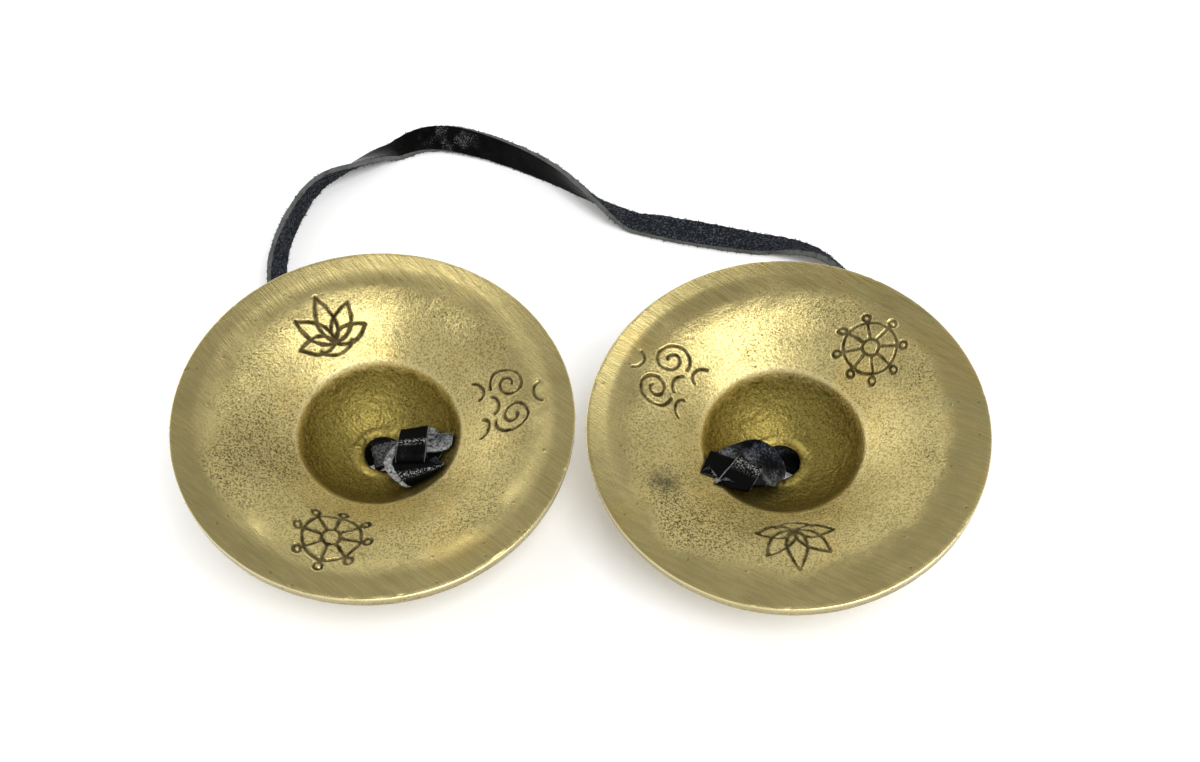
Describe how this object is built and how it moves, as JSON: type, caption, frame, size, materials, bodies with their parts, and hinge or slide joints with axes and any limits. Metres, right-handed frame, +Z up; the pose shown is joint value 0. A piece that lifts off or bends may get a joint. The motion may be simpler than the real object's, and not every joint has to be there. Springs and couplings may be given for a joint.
{
  "type": "tingsha cymbals",
  "caption": "Small thick dished brass cymbals with flat strike bands and domed cups, joined by a knotted leather strap and struck rim to rim.",
  "frame": {"origin": "on the surface the cymbals rest on, midway between them, under the middle of their box", "axes": "+X from the left cymbal to the right one, +Y away from the viewer towards the strap, +Z up"},
  "size_m": [0.1374, 0.138, 0.0257],
  "materials": {
    "brass": "as cast in the dish, sanded and worn bright on the strike band",
    "leather": "black, smooth grain on one side, grey napped flesh on the other"
  },
  "bodies": {
    "strap": {"strap": "leather"},
    "left_knot": {"left_knot": "leather"},
    "left_cymbal": {"left_cymbal": "brass"},
    "right_knot": {"right_knot": "leather"},
    "right_cymbal": {"right_cymbal": "brass"}
  },
  "joints": [
    {"name": "left_rock", "type": "hinge", "parent": "strap", "child": "left_knot", "pos_m": [-0.03638, 0.0027, 0.00284], "axis": [1, 0, 0], "range_deg": [0, 20]},
    {"name": "left_spin", "type": "hinge", "parent": "left_knot", "child": "left_cymbal", "pos_m": [-0.03638, 0.0027, 0.00284], "axis": [0.1047, -0.1813, 0.9778], "continuous": true},
    {"name": "right_rock", "type": "hinge", "parent": "strap", "child": "right_knot", "pos_m": [0.03638, 0.0027, 0.00284], "axis": [1, 0, 0], "range_deg": [0, 20]},
    {"name": "right_spin", "type": "hinge", "parent": "right_knot", "child": "right_cymbal", "pos_m": [0.03638, 0.0027, 0.00284], "axis": [-0.1047, -0.1813, 0.9778], "continuous": true}
  ]
}
